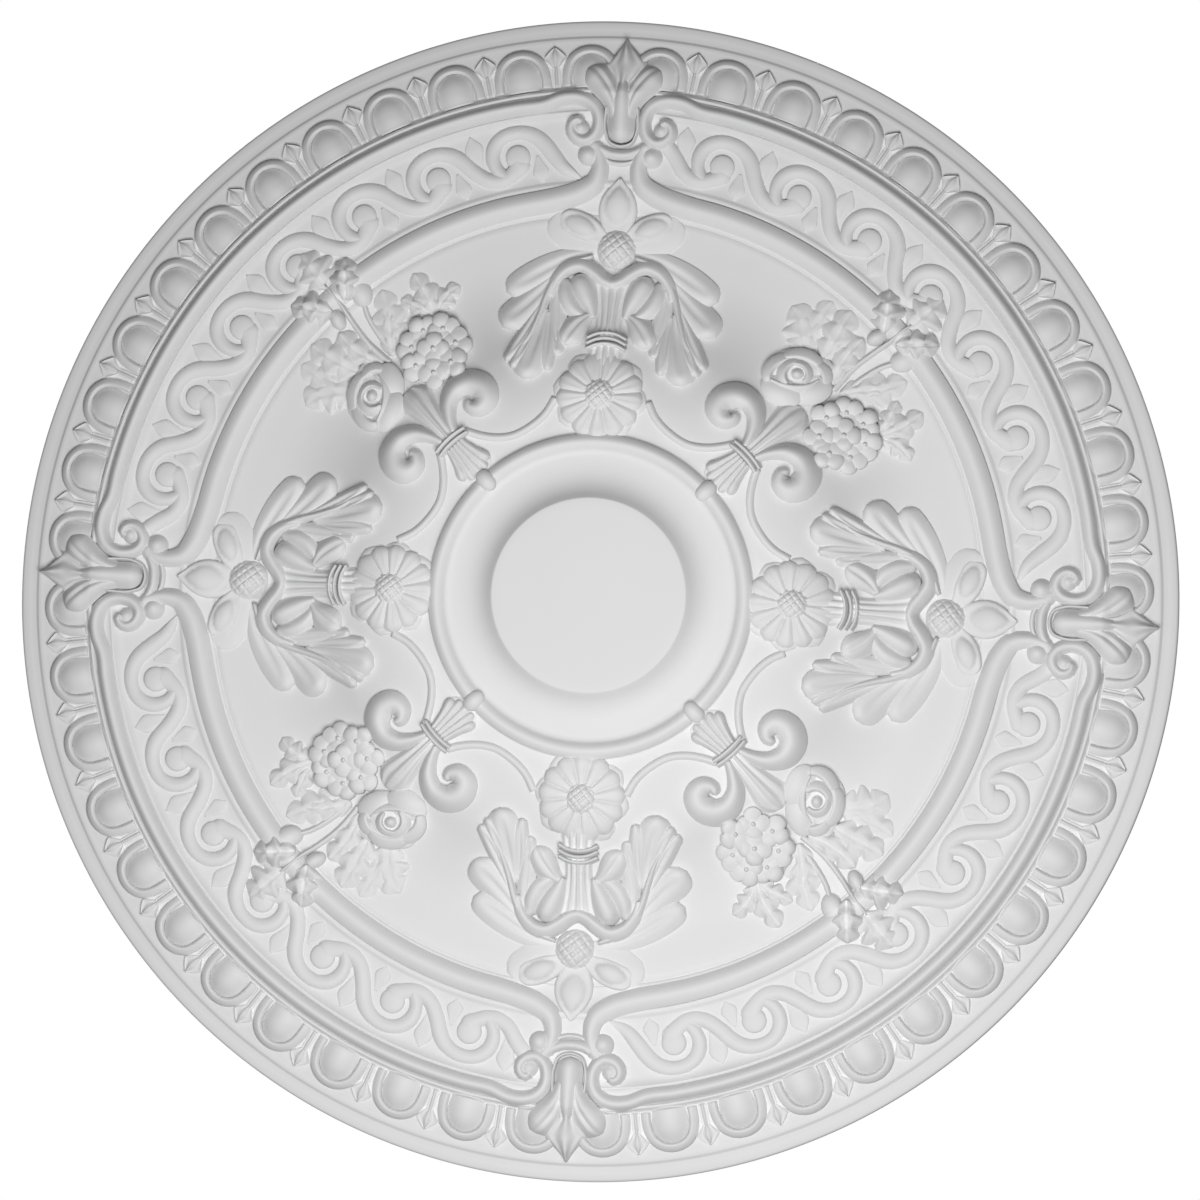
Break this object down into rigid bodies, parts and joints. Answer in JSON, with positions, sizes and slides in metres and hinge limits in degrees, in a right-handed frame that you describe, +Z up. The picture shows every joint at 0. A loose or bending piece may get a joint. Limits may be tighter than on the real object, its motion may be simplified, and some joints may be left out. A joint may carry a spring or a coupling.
{
  "type": "ceiling rose",
  "caption": "Round moulded ceiling rose with an egg-and-dart rim, a band of running scrolls, floral sprays and a flat centre for a lamp canopy.",
  "frame": {"origin": "centre of the flat back, where the rose meets the ceiling", "axes": "+Z up into the ceiling, relief below; the four fleurs lie on the X and Y axes"},
  "size_m": [0.76, 0.76, 0.07],
  "materials": {
    "primed_white": "matt factory primer on moulded rigid foam"
  },
  "bodies": {
    "root": {"ceiling_rose": "primed_white"}
  },
  "joints": []
}
